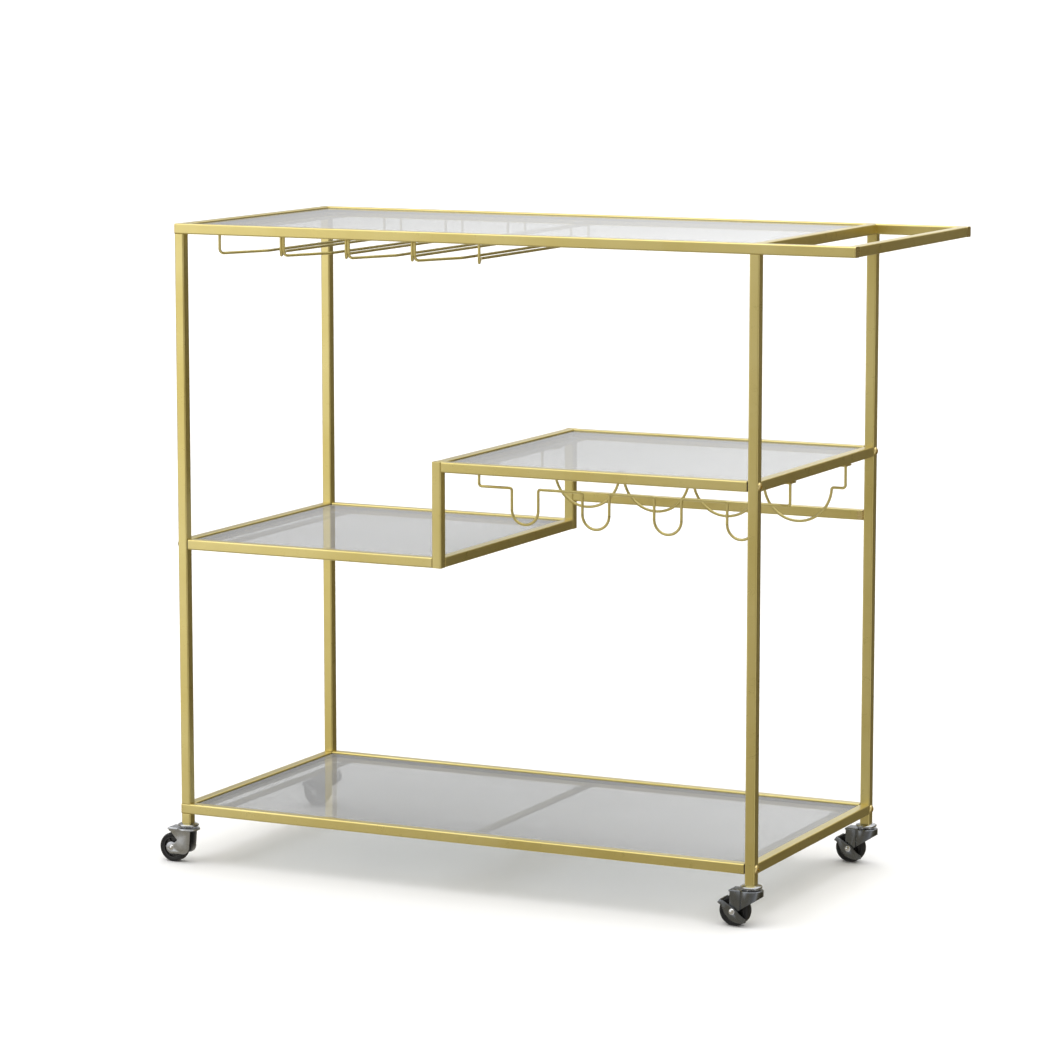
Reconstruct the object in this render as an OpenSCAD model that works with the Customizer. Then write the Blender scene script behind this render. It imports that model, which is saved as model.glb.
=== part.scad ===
// Bar cart on wheels: a gold square-tube frame with four glass shelves, a stemware rack
// under the top, a wire wine rack under the high middle shelf and four swivel casters.
// Millimetres. X runs along the cart towards the handle, Y to the rear, Z up.

/* [Overall size] */
// Length over the posts, without the handle
cart_length = 801; // [650:1:1000]
// How far the handle reaches past the posts
handle_reach = 121; // [80:1:180]
// Depth over the rails
cart_depth = 394; // [300:1:500]
// Height of the top rails above the floor
cart_height = 826; // [700:1:1000]

/* [Frame tube] */
// Outside width of the square tube
tube = 13; // [12:0.5:20]
// Wall of the tube
tube_wall = 1.2; // [0.8:0.1:2]
// Outside corner radius of the tube
tube_radius = 1.8; // [0.8:0.1:3]
// Gap left at each bolted rail end
joint_reveal = 1.2; // [0.5:0.1:4]

/* [Shelves] */
// Length of the low middle shelf, from the outside of the left posts
low_shelf_length = 378; // [250:1:460]
// Top of the low middle shelf's rails
low_shelf_height = 423; // [350:1:520]
// Top of the high middle shelf's rails
high_shelf_height = 543; // [480:1:640]
// Top of the back rail over the low shelf level
back_rail_height = 460.5; // [380:0.5:560]
// Length of the stub legs between the bottom rails and the casters
leg_length = 13; // [12:0.5:40]

/* [Glass] */
// Thickness of every pane
glass_thickness = 5; // [4:0.5:8]
// Depth of the glass below the rail tops
glass_drop = 2; // [0.5:0.5:3]
// Gap between a pane and its rails
glass_gap = 1; // [0.5:0.1:3]
// Width of the strips under the glass
bar_width = 13; // [8:0.5:25]
// Thickness of the strips under the glass
bar_thickness = 3; // [2:0.5:4]
// From a cross rail to the middle of its nearest strip
bar_inset = 23.5; // [12:0.5:60]
// The same distance on the high shelf, whose strips carry the wine rack
high_bar_inset = 14; // [10:0.5:40]
// Diameter of the clear pads
pad_diameter = 12; // [6:0.5:13]
// From the front and rear rails to the middle of a pad
pad_inset = 32; // [15:1:90]

/* [Stemware rack] */
// Diameter of all the rack wires
wire = 3.5; // [2.5:0.1:5]
// Distance between two slots
slot_pitch = 92.4; // [70:0.1:112]
// Middle of the first slot, from the outside of the left posts
first_slot = 106.8; // [70:0.1:130]
// Width between the two wires of a slot, middle to middle
slot_width = 25; // [16:0.5:40]
// Gap between the wires of two neighbouring slots at the front
slot_neighbour_gap = 3.8; // [0.5:0.1:10]
// Drop of the wires below the top rails
slot_drop = 23; // [15:0.5:40]
// Depth of the slanting mouth, from the front
mouth_depth = 74; // [40:1:120]
// Bend radius of the stemware wires, to the middle of the wire
wire_bend = 6; // [4:0.5:10]

/* [Wine rack] */
// Middle of the neck wire, from the front
neck_wire_y = 118; // [60:1:160]
// Middle of the body wire, from the front
body_wire_y = 301; // [220:1:340]
// Inside the risers, space left beyond the first and last cradle
rack_end_space = 15.5; // [12:0.5:40]
// Drop of the rack's straight wire below the shelf top
rack_drop = 44; // [35:1:70]
// Half the width of a neck cradle, middle of the wire
neck_half = 18.4; // [14:0.1:24]
// Depth of a neck cradle below the straight wire
neck_depth = 45.5; // [30:0.5:60]
// Small bends of the wine rack wires, middle of the wire
rack_bend = 3; // [2.5:0.1:6]
// Rise of the body cradles' middle above the straight wire
body_rise = 0.6; // [0:0.1:3]
// Length of a rack tab under the shelf, from the outside of the rail
tab_length = 34; // [26:1:60]
// Width of a rack tab
tab_width = 20; // [10:1:40]
// Thickness of a rack tab
tab_thickness = 2; // [1.5:0.1:4]

/* [Bolts and caps] */
// Thread of the shelf bolts
bolt_diameter = 6; // [5:0.5:7]
// Head of the shelf bolts
bolt_head_diameter = 11; // [9:0.5:12.5]
// Height of a bolt head
bolt_head_height = 3; // [2:0.1:4]
// Hex socket across its flats
hex_socket = 4; // [3:0.5:5]
// Depth of a bolt in its plug
bolt_grip = 12; // [8:0.5:14]
// Length of a plug inside its tube
plug_length = 16; // [14:0.5:30]
// Flange of a rail end cap
cap_flange = 1.2; // [0.8:0.1:3]
// Length of a cap inside its tube
cap_insert = 8; // [4:0.5:20]
// Length of the collar on the right end of the back rail
collar_length = 7; // [4:0.5:20]

/* [Casters] */
// Diameter of the wheels
wheel_diameter = 38; // [30:0.5:50]
// Width of the tread
wheel_width = 14; // [10:0.5:18]
// Distance from the swivel to the axle
caster_trail = 20.5; // [16:0.5:28]
// Free space between a wheel and the fork's plate
wheel_clearance = 5.5; // [4.5:0.1:8]
// Thickness of the fork's plate under the balls
fork_plate = 2.5; // [1.5:0.1:4]
// Thickness of the fork's sides and the lever's sides
sheet = 1.5; // [1:0.1:2.5]
// Height of the ball race
race_height = 2.2; // [1.8:0.1:4]
// Diameter of a ball
ball_diameter = 1.5; // [1:0.1:3]
// Radius of the ball circle
ball_circle = 10.5; // [8:0.1:12.5]
// Thickness of the cap over the race
race_cap = 3.8; // [3:0.1:6]
// Diameter of the cap over the race
race_cap_diameter = 27; // [26:0.5:30]
// Radius of the fork's round plate
swivel_radius = 15; // [13:0.5:18]
// Thread of the caster stem
stem_diameter = 8; // [6:0.5:9]
// Length of the stem inside the leg
stem_length = 12; // [8:0.5:12]
// Kingpin the fork swivels on
kingpin_diameter = 6; // [5:0.1:8]
// Diameter of the axle
axle_diameter = 5; // [4:0.1:6]
// Head of the axle
axle_head_diameter = 8; // [7:0.1:10]
// Height of an axle head
axle_head_height = 1.6; // [1:0.1:2.5]

/* [Fits] */
// Radial play of everything that turns
running_play = 0.06; // [0.03:0.01:0.1]
// Free space between moving pieces, side by side
side_play = 0.35; // [0.3:0.05:0.8]
// Play of plugs, caps and inserts in their tubes, on each side
plug_play = 0.1; // [0.05:0.01:0.3]
// Play of a bolt in its clearance hole, all round
bolt_play = 0.25; // [0.1:0.05:0.5]

/* [Hidden] */
$fn = 48;
lap = 0.1;
ring_lip = 0.05;
through = 1;
bottle_count = 4;
tab_share = 0.8;
cap_slope = 4;
cap_rise = 1;
rivet_flare = 2;
half_tube = tube / 2;
bore = tube - 2 * tube_wall;

// Casters, up from the floor
wheel_radius = wheel_diameter / 2;
plate_under = wheel_diameter + wheel_clearance;
plate_top = plate_under + fork_plate;
race_top = plate_top + race_height;
leg_end = race_top + race_cap;
plain_side = wheel_width / 2 + 1;
braked_side = wheel_width / 2 + 2;
lever_side = braked_side + sheet + side_play;
lug_half = braked_side + sheet;
axle_half_plain = plain_side + sheet + running_play;
axle_half_braked = lever_side + sheet + side_play;
hub_plain = plain_side - side_play;
hub_braked = braked_side - side_play;

// Undersides of the rails
bottom_under = leg_end + leg_length;
bottom_top = bottom_under + tube;
low_under = low_shelf_height - tube;
high_under = high_shelf_height - tube;
back_under = back_rail_height - tube;
top_under = cart_height - tube;

// Left and front faces of the far pieces
post_x = cart_length - tube;
stub_x = low_shelf_length - tube;
handle_x = cart_length + handle_reach - tube;
rear_y = cart_depth - tube;
front_mid = half_tube;
rear_mid = rear_y + half_tube;

// Furthest reach of the wheels past the left posts, and the middle of the whole cart
left_reach = half_tube - caster_trail - wheel_radius;
middle_x = (left_reach + cart_length + handle_reach) / 2;
middle_y = cart_depth / 2;

// Wine rack: the cradles share the space between the risers
riser_left = stub_x + half_tube;
riser_right = post_x + half_tube;
rack_z = high_shelf_height - rack_drop;
rack_middle = (riser_left + riser_right) / 2;
bottle_pitch = (riser_right - riser_left - 2 * rack_end_space) / bottle_count;
body_radius = bottle_pitch / 2 - rack_bend;
bottles = [for (i = [0 : bottle_count - 1]) rack_middle + (i - (bottle_count - 1) / 2) * bottle_pitch];
tab_under = high_under - tab_thickness;
riser_bend = 4;
neck_centre_z = rack_z - neck_depth + neck_half;
body_centre_z = rack_z + body_rise;
end_angle = asin((body_rise + rack_bend) / (body_radius + rack_bend));
end_offset = (body_radius + rack_bend) * cos(end_angle);

// Stemware rack: the wires meet the middle of the rails' undersides
slots = [for (i = [0 : 3]) first_slot + i * slot_pitch];
mouth_half = (slot_pitch - slot_neighbour_gap) / 2;
slot_z = top_under - slot_drop;

// Strips under the glass: middle of each and the underside of its shelf's rails
full_bars = [tube + bar_inset, cart_length / 2, post_x - bar_inset];
low_bars = [tube + bar_inset, stub_x - bar_inset];
high_bars = [stub_x + tube + high_bar_inset, post_x - high_bar_inset];
bars = concat([for (x = full_bars) [x, bottom_under]], [for (x = full_bars) [x, top_under]],
              [for (x = low_bars) [x, low_under]], [for (x = high_bars) [x, high_under]]);

// Bolts along X through the posts: height of each and which rails they hold
right_bolts = [bottom_under + half_tube, high_under + half_tube];
left_bolt = low_under + half_tube;
back_pin = back_under + half_tube;
bolt_length = tube + joint_reveal + bolt_grip;

// Casters: the posts' middles, from the front left
corners = [[front_mid, front_mid], [post_x + half_tube, front_mid],
           [front_mid, rear_mid], [post_x + half_tube, rear_mid]];

gold = [0.80, 0.72, 0.50];
dark = [0.20, 0.19, 0.17];
steel = [0.62, 0.62, 0.62];
black = [0.10, 0.10, 0.10];
clear = [0.80, 0.84, 0.84, 0.45];

// ---------- shared shapes ----------

// Puts the cart's bottom centre at the origin
module in_frame() {
    translate([-middle_x, -middle_y, 0]) children();
}

module rounded_square(size, radius) {
    square([size - 2 * radius, size], center = true);
    square([size, size - 2 * radius], center = true);
    for (x = [-1, 1], y = [-1, 1])
        translate([x * (size / 2 - radius), y * (size / 2 - radius)])
            circle(r = radius);
}

module tube_section() {
    difference() {
        rounded_square(tube, tube_radius);
        square(bore, center = true);
    }
}

// Tubes: ends along their axis, then the lower corner across it
module tube_x(x0, x1, y, z) {
    translate([x0, y + half_tube, z + half_tube])
        rotate([90, 0, 90])
            linear_extrude(x1 - x0) tube_section();
}

module tube_y(x, z) {
    translate([x + half_tube, tube, z + half_tube])
        rotate([-90, 0, 0])
            linear_extrude(rear_y - tube) tube_section();
}

module tube_z(z0, z1, x, y) {
    translate([x + half_tube, y + half_tube, z0])
        linear_extrude(z1 - z0) tube_section();
}

// Clearance hole along X through a post
module post_hole(x, y, z, length) {
    translate([x, y, z])
        rotate([0, 90, 0])
            cylinder(d = bolt_diameter + 2 * bolt_play, h = length);
}

// Round cap of a ball: base radius r, height h
module dome(r, h) {
    ball = (r * r + h * h) / (2 * h);
    intersection() {
        translate([0, 0, h - ball]) sphere(r = ball);
        cylinder(r = r, h = h);
    }
}

function direction(a, b) = (b - a) / norm(b - a);
function turn(path, i) = acos(direction(path[i - 1], path[i]) * direction(path[i], path[i + 1]));
function is_end(path, i) = i == 0 || i == len(path) - 1;
function setback(path, i) = is_end(path, i) ? 0 : wire_bend * tan(turn(path, i) / 2);
function side_of(d) = direction([0, 0, 0], abs(d[2]) < 0.9 ? cross([0, 0, 1], d) : cross([1, 0, 0], d));
function placed(x, y, z, at) = [[x[0], y[0], z[0], at[0]], [x[1], y[1], z[1], at[1]],
                                [x[2], y[2], z[2], at[2]], [0, 0, 0, 1]];

// Straight wire from a to b; each end that meets a bend stops a little short of it
module rod(a, b, short_a = lap, short_b = lap) {
    d = direction(a, b);
    x = side_of(d);
    multmatrix(placed(x, cross(d, x), d, a + d * short_a))
        cylinder(d = wire, h = norm(b - a) - short_a - short_b);
}

// Hair-thin ring that joins a bend to the next length of wire
module ring(at, d) {
    x = side_of(d);
    multmatrix(placed(x, cross(d, x), d, at - d * 2 * lap))
        cylinder(d = wire + 2 * ring_lip, h = 4 * lap);
}

// Bend in the XY plane about the origin, from the X axis through the given sweep
module bend(radius, sweep) {
    short = lap / radius * 180 / PI;
    rotate([0, 0, short])
        rotate_extrude(angle = sweep - 2 * short)
            translate([radius, 0])
                circle(d = wire);
}

// Bent wire through the points of a path
module bent_wire(path) {
    last = len(path) - 1;
    for (i = [0 : last - 1])
        rod(path[i] + direction(path[i], path[i + 1]) * setback(path, i),
            path[i + 1] - direction(path[i], path[i + 1]) * setback(path, i + 1),
            i == 0 ? 0 : lap, i == last - 1 ? 0 : lap);
    for (i = [1 : last - 1]) {
        u = direction(path[i - 1], path[i]);
        v = direction(path[i], path[i + 1]);
        n = direction([0, 0, 0], v - u * (u * v));
        ring(path[i] - u * setback(path, i), u);
        ring(path[i] + v * setback(path, i), v);
        multmatrix(placed(-n, u, cross(-n, u), path[i] - u * setback(path, i) + n * wire_bend))
            bend(wire_bend, turn(path, i));
    }
}

// Arc of wire in an upright plane: middle, radius, first angle and sweep
module wire_arc(x, y, z, radius, first, sweep) {
    translate([x, y, z])
        rotate([90, 0, 0])
            rotate([0, 0, first])
                bend(radius, sweep);
}

// The same with a ring at both ends
module ringed_arc(x, y, z, radius, first, sweep) {
    wire_arc(x, y, z, radius, first, sweep);
    for (a = [first, first + sweep])
        ring([x + radius * cos(a), y, z + radius * sin(a)], [-sin(a), 0, cos(a)]);
}

// ---------- frame ----------

module top_front_rail() {
    color(gold) in_frame()
        tube_x(cap_flange, handle_x + tube - cap_flange, 0, top_under);
}

module top_rear_rail() {
    color(gold) in_frame()
        tube_x(cap_flange, handle_x + tube - cap_flange, rear_y, top_under);
}

module top_left_rail() {
    color(gold) in_frame() tube_y(0, top_under);
}

module top_cross_rail() {
    color(gold) in_frame() tube_y(post_x, top_under);
}

module handle_bar() {
    color(gold) in_frame() tube_y(handle_x, top_under);
}

module left_post(y) {
    difference() {
        tube_z(bottom_top, top_under, 0, y);
        post_hole(-through, y + half_tube, left_bolt, tube + 2 * through);
    }
}

module right_post(y) {
    difference() {
        tube_z(leg_end, top_under, post_x, y);
        for (z = right_bolts)
            post_hole(post_x - through, y + half_tube, z, tube + 2 * through);
    }
}

module front_left_post() {
    color(gold) in_frame() left_post(0);
}

module rear_left_post() {
    color(gold) in_frame() left_post(rear_y);
}

module front_right_post() {
    color(gold) in_frame() right_post(0);
}

module rear_right_post() {
    color(gold) in_frame()
        difference() {
            right_post(rear_y);
            post_hole(post_x - through, rear_mid, back_pin, half_tube + through);
        }
}

module bottom_front_rail() {
    color(gold) in_frame()
        tube_x(cap_flange, post_x - joint_reveal, 0, bottom_under);
}

module bottom_rear_rail() {
    color(gold) in_frame()
        tube_x(cap_flange, post_x - joint_reveal, rear_y, bottom_under);
}

module bottom_left_rail() {
    color(gold) in_frame() tube_y(0, bottom_under);
}

module bottom_right_rail() {
    color(gold) in_frame() tube_y(post_x, bottom_under);
}

module front_left_leg() {
    color(gold) in_frame() tube_z(leg_end, bottom_under, 0, 0);
}

module rear_left_leg() {
    color(gold) in_frame() tube_z(leg_end, bottom_under, 0, rear_y);
}

module low_shelf_front_rail() {
    color(gold) in_frame() tube_x(tube + joint_reveal, stub_x, 0, low_under);
}

module low_shelf_rear_rail() {
    color(gold) in_frame() tube_x(tube + joint_reveal, stub_x, rear_y, low_under);
}

module low_shelf_left_rail() {
    color(gold) in_frame() tube_y(0, low_under);
}

module low_shelf_right_rail() {
    color(gold) in_frame() tube_y(stub_x, low_under);
}

module high_shelf_front_rail() {
    color(gold) in_frame() tube_x(stub_x + tube, post_x - joint_reveal, 0, high_under);
}

module high_shelf_rear_rail() {
    color(gold) in_frame() tube_x(stub_x + tube, post_x - joint_reveal, rear_y, high_under);
}

module high_shelf_left_rail() {
    color(gold) in_frame() tube_y(stub_x, high_under);
}

module high_shelf_right_rail() {
    color(gold) in_frame() tube_y(post_x, high_under);
}

module front_stub() {
    color(gold) in_frame() tube_z(low_under, high_shelf_height, stub_x, 0);
}

module rear_stub() {
    color(gold) in_frame() tube_z(low_under, high_shelf_height, stub_x, rear_y);
}

module back_rail() {
    color(gold) in_frame() tube_x(stub_x + tube, post_x - joint_reveal - collar_length, rear_y, back_under);
}

// ---------- glass ----------

module pane(x0, x1, top) {
    translate([x0 + glass_gap, tube + glass_gap, top - glass_drop - glass_thickness])
        cube([x1 - x0 - 2 * glass_gap, rear_y - tube - 2 * glass_gap, glass_thickness]);
}

module top_glass() {
    color(clear) in_frame() pane(tube, post_x, cart_height);
}

module low_shelf_glass() {
    color(clear) in_frame() pane(tube, stub_x, low_shelf_height);
}

module high_shelf_glass() {
    color(clear) in_frame() pane(stub_x + tube, post_x, high_shelf_height);
}

module bottom_glass() {
    color(clear) in_frame() pane(tube, post_x, bottom_top);
}

module glass_bars() {
    color(gold) in_frame()
        for (b = bars)
            translate([b[0] - bar_width / 2, tube, b[1]])
                cube([bar_width, rear_y - tube, bar_thickness]);
}

module glass_pads() {
    color(clear) in_frame()
        for (b = bars, y = [tube + pad_inset, rear_y - pad_inset])
            translate([b[0], y, b[1] + bar_thickness])
                cylinder(d = pad_diameter, h = tube - glass_drop - glass_thickness - bar_thickness);
}

// ---------- stemware rack ----------

// One slot: a mirrored pair of wires hung from the front and rear rails
module stemware_slot(x) {
    for (side = [-1, 1])
        bent_wire([[x + side * mouth_half, front_mid, top_under],
                   [x + side * mouth_half, front_mid, slot_z],
                   [x + side * slot_width / 2, mouth_depth, slot_z],
                   [x + side * slot_width / 2, rear_mid, slot_z],
                   [x + side * slot_width / 2, rear_mid, top_under]]);
}

module stemware_slot_1() {
    color(gold) in_frame() stemware_slot(slots[0]);
}

module stemware_slot_2() {
    color(gold) in_frame() stemware_slot(slots[1]);
}

module stemware_slot_3() {
    color(gold) in_frame() stemware_slot(slots[2]);
}

module stemware_slot_4() {
    color(gold) in_frame() stemware_slot(slots[3]);
}

// ---------- wine rack ----------

// Riser, its bend and the straight wire up to the first and last cradle
module rack_ends(y, left_end, right_end) {
    rod([riser_left, y, tab_under], [riser_left, y, rack_z + riser_bend], 0);
    ringed_arc(riser_left + riser_bend, y, rack_z + riser_bend, riser_bend, 180, 90);
    rod([riser_left + riser_bend, y, rack_z], [left_end, y, rack_z]);
    rod([right_end, y, rack_z], [riser_right - riser_bend, y, rack_z]);
    ringed_arc(riser_right - riser_bend, y, rack_z + riser_bend, riser_bend, 270, 90);
    rod([riser_right, y, rack_z + riser_bend], [riser_right, y, tab_under], lap, 0);
}

module neck_wire() {
    reach = neck_half + rack_bend;
    color(gold) in_frame() {
        rack_ends(neck_wire_y, bottles[0] - reach, bottles[3] + reach);
        for (x = bottles) {
            ringed_arc(x, neck_wire_y, neck_centre_z, neck_half, 180, 180);
            ringed_arc(x - reach, neck_wire_y, rack_z - rack_bend, rack_bend, 0, 90);
            ringed_arc(x + reach, neck_wire_y, rack_z - rack_bend, rack_bend, 90, 90);
            for (side = [-1, 1])
                rod([x + side * neck_half, neck_wire_y, neck_centre_z],
                    [x + side * neck_half, neck_wire_y, rack_z - rack_bend]);
        }
        for (i = [0 : 2])
            rod([bottles[i] + reach, neck_wire_y, rack_z],
                [bottles[i + 1] - reach, neck_wire_y, rack_z]);
    }
}

module body_wire() {
    y = body_wire_y;
    color(gold) in_frame() {
        rack_ends(y, bottles[0] - end_offset, bottles[3] + end_offset);
        ringed_arc(bottles[0] - end_offset, y, rack_z - rack_bend, rack_bend, end_angle, 90 - end_angle);
        ringed_arc(bottles[3] + end_offset, y, rack_z - rack_bend, rack_bend, 90, 90 - end_angle);
        wire_arc(bottles[0], y, body_centre_z, body_radius, 180 + end_angle, 180 - end_angle);
        wire_arc(bottles[1], y, body_centre_z, body_radius, 180, 180);
        wire_arc(bottles[2], y, body_centre_z, body_radius, 180, 180);
        wire_arc(bottles[3], y, body_centre_z, body_radius, 180, 180 - end_angle);
        for (i = [0 : 2])
            ringed_arc(bottles[i] + bottle_pitch / 2, y, body_centre_z, rack_bend, 0, 180);
    }
}

module wine_rack_tabs() {
    color(gold) in_frame()
        for (y = [neck_wire_y, body_wire_y], x = [stub_x, cart_length - tab_length])
            translate([x, y - tab_width * tab_share, tab_under])
                cube([tab_length, tab_width, tab_thickness]);
}

// ---------- fixings ----------

// Button-head bolt along +X, its head's seat at the origin
module shelf_bolt() {
    rotate([0, 90, 0])
        cylinder(d = bolt_diameter, h = bolt_length);
    rotate([0, -90, 0])
        difference() {
            dome(bolt_head_diameter / 2, bolt_head_height);
            translate([0, 0, bolt_head_height - hex_socket / 2])
                cylinder(d = hex_socket / cos(30), h = hex_socket, $fn = 6);
        }
}

module shelf_bolts() {
    color(gold) in_frame()
        for (y = [front_mid, rear_mid]) {
            translate([0, y, left_bolt]) shelf_bolt();
            for (z = right_bolts)
                translate([cart_length, y, z]) mirror([1, 0, 0]) shelf_bolt();
        }
}

// Plug in a tube end: its flange fills the reveal, the tube lies towards +X
module threaded_plug() {
    flange = tube - 2 * tube_wall + 2 * plug_play;
    difference() {
        union() {
            translate([0, -flange / 2, -flange / 2]) cube([joint_reveal, flange, flange]);
            translate([0, plug_play - bore / 2, plug_play - bore / 2])
                cube([joint_reveal + plug_length, bore - 2 * plug_play, bore - 2 * plug_play]);
        }
        translate([-through, 0, 0])
            rotate([0, 90, 0])
                cylinder(r = bolt_diameter / 2 + running_play,
                         h = joint_reveal + plug_length + 2 * through);
    }
}

module threaded_plugs() {
    color(dark) in_frame() {
        for (y = [front_mid, rear_mid]) {
            translate([tube, y, left_bolt]) threaded_plug();
            for (z = right_bolts)
                translate([post_x, y, z]) mirror([1, 0, 0]) threaded_plug();
        }
    }
}

// Flush cap of a tube that lies towards +X
module rail_end_cap() {
    rotate([90, 0, 90])
        linear_extrude(cap_flange) rounded_square(tube, tube_radius);
    translate([0, plug_play - bore / 2, plug_play - bore / 2])
        cube([cap_flange + cap_insert, bore - 2 * plug_play, bore - 2 * plug_play]);
}

// Collar on the back rail's right end, seen from the post towards +X, with its pin into the post
module pinned_collar() {
    neck = bore - 2 * plug_play;
    translate([joint_reveal, 0, 0])
        rotate([90, 0, 90])
            linear_extrude(collar_length) rounded_square(tube, tube_radius);
    translate([0, -neck / 2, -neck / 2])
        cube([joint_reveal + collar_length + cap_insert, neck, neck]);
    translate([tube_wall - half_tube, 0, 0])
        rotate([0, 90, 0])
            cylinder(d = bolt_diameter, h = half_tube);
}

module rail_end_caps() {
    color(gold) in_frame() {
        translate([post_x, rear_mid, back_pin]) mirror([1, 0, 0]) pinned_collar();
        for (y = [front_mid, rear_mid]) {
            translate([0, y, bottom_under + half_tube]) rail_end_cap();
            translate([0, y, top_under + half_tube]) rail_end_cap();
            translate([handle_x + tube, y, top_under + half_tube]) mirror([1, 0, 0]) rail_end_cap();
        }
    }
}

module leg_inserts() {
    side = bore - 2 * plug_play;
    color(dark) in_frame()
        for (c = corners)
            translate([c[0], c[1], leg_end])
                difference() {
                    translate([-side / 2, -side / 2, 0]) cube([side, side, stem_length]);
                    translate([0, 0, -through])
                        cylinder(r = stem_diameter / 2 + running_play, h = stem_length + 2 * through);
                }
}

// ---------- casters ----------

// Stem up into the leg, cap over the balls and kingpin down through the fork, from the floor up
module caster_stem() {
    cap_r = race_cap_diameter / 2;
    rivet_top = plate_under - side_play;
    translate([0, 0, leg_end]) cylinder(d = stem_diameter, h = stem_length);
    translate([0, 0, leg_end - cap_rise]) cylinder(r1 = cap_r, r2 = cap_r - cap_slope, h = cap_rise);
    translate([0, 0, race_top]) cylinder(r = cap_r, h = race_cap - cap_rise);
    translate([0, 0, rivet_top]) cylinder(d = kingpin_diameter, h = race_top - rivet_top);
    translate([0, 0, rivet_top]) mirror([0, 0, 1]) dome(kingpin_diameter / 2 + rivet_flare, rivet_flare);
}

module caster_stems() {
    color(steel) in_frame()
        for (c = corners)
            translate([c[0], c[1], 0]) caster_stem();
}

module caster_balls() {
    color(steel) in_frame()
        for (c = corners, a = [0 : 30 : 330])
            translate([c[0], c[1], (plate_top + race_top) / 2])
                rotate([0, 0, a])
                    translate([ball_circle, 0, 0])
                        sphere(d = ball_diameter);
}

// Everything below is placed from the swivel's axis on the floor; the wheel trails towards -X
module at_corner(i) {
    in_frame() translate([corners[i][0], corners[i][1], 0]) children();
}

module along_axle() {
    translate([-caster_trail, 0, wheel_radius]) rotate([90, 0, 0]) children();
}

// Outline of the fork seen from above
module fork_plan(radius, half) {
    circle(r = radius);
    translate([-caster_trail - axle_diameter, -half])
        square([caster_trail + axle_diameter, 2 * half]);
}

module fork_top() {
    translate([0, 0, plate_under])
        linear_extrude(fork_plate)
            difference() {
                fork_plan(swivel_radius, lug_half);
                circle(r = kingpin_diameter / 2 + running_play);
            }
}

// Side of the plain fork seen from the front, its middle on the axle: a hook round the wheel
module plain_outline() {
    r = wheel_radius;
    rise = plate_under - wheel_radius;
    circle(r = 0.41 * r);
    translate([0.84 * r, 0.15 * r]) circle(r = 0.54 * r);
    translate([0, -0.39 * r]) square([0.84 * r, 0.5 * r]);
    polygon([[0.24 * r, 0.05 * r], [0.24 * r, 0.37 * r], [0.46 * r, 0.56 * r], [-0.02 * r, 1.1 * r],
             [-0.21 * r, 1.18 * r], [-0.21 * r, rise], [1.45 * r, rise], [1.45 * r, 1.11 * r],
             [1.4 * r, 0.4 * r], [1.37 * r, 0.2 * r]]);
}

module plain_fork() {
    fork_top();
    difference() {
        for (side = [-1, 1])
            translate([0, side * (plain_side + sheet / 2), 0])
                along_axle()
                    linear_extrude(sheet, center = true) plain_outline();
        along_axle() cylinder(r = axle_diameter / 2 + running_play, h = 4 * wheel_width, center = true);
    }
}

// Side of the braked fork's skirt: lug, axle boss and a rising lower edge
module skirt_outline() {
    r = wheel_radius;
    rise = plate_under - wheel_radius;
    circle(r = 0.29 * r);
    polygon([[-0.2 * r, rise + 1], [-0.2 * r, 0], [0, -0.26 * r], [0.2 * r, -0.2 * r],
             [0.42 * r, 0.08 * r], [caster_trail + swivel_radius + 1, rise - 0.24 * r],
             [caster_trail + swivel_radius + 1, rise + 1]]);
}

module braked_fork() {
    fork_top();
    difference() {
        intersection() {
            linear_extrude(plate_under)
                difference() {
                    fork_plan(swivel_radius, lug_half);
                    circle(r = swivel_radius - sheet);
                    translate([-2 * caster_trail, -braked_side])
                        square([2 * caster_trail, 2 * braked_side]);
                }
            along_axle() linear_extrude(4 * swivel_radius, center = true) skirt_outline();
        }
        along_axle() cylinder(r = axle_diameter / 2 + running_play, h = 4 * wheel_width, center = true);
    }
}

// Axle with a round head outside each fork side or lever side
module axle(half) {
    along_axle() {
        cylinder(d = axle_diameter, h = 2 * half, center = true);
        translate([0, 0, half]) dome(axle_head_diameter / 2, axle_head_height);
        mirror([0, 0, 1])
            translate([0, 0, half]) dome(axle_head_diameter / 2, axle_head_height);
    }
}

// Wheel: round-shouldered tread, dished sides and a hub out to the fork
module wheel(hub_half) {
    r = wheel_radius;
    w = wheel_width / 2;
    shoulder = 0.13 * r;
    along_axle()
        rotate_extrude()
            difference() {
                union() {
                    square_between(0, r - shoulder, w);
                    square_between(0, r, w - shoulder);
                    for (side = [-1, 1])
                        translate([r - shoulder, side * (w - shoulder)]) circle(r = shoulder);
                    square_between(0, 0.27 * r, hub_half);
                }
                square_between(-1, axle_diameter / 2 + running_play, 2 * w);
                for (side = [-1, 1])
                    translate([0.27 * r, side * w - 0.1 * r]) square([0.45 * r, 0.2 * r]);
            }
}

module square_between(x0, x1, half) {
    translate([x0, -half]) square([x1 - x0, 2 * half]);
}

// Brake lever: a long front side and a short rear one on the axle, a pedal across them
module lever_outline() {
    r = wheel_radius;
    difference() {
        union() {
            circle(r = 0.29 * r);
            intersection() {
                translate([0.53 * r, 0.47 * r]) circle(r = 1.18 * r);
                polygon([[-0.8 * r, 0.78 * r], [-0.18 * r, 0.43 * r], [0.29 * r, 0.12 * r],
                         [0.53 * r, -0.12 * r], [0.96 * r, -0.45 * r], [0.96 * r, -0.9 * r],
                         [-0.8 * r, -0.9 * r]]);
            }
            polygon([[-r, 0.53 * r], [-0.84 * r, 0.75 * r], [-0.6 * r, 0.65 * r],
                     [-0.5 * r, -0.1 * r], [-0.76 * r, 0.38 * r]]);
        }
        circle(r = axle_diameter / 2 + running_play);
    }
}

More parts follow.
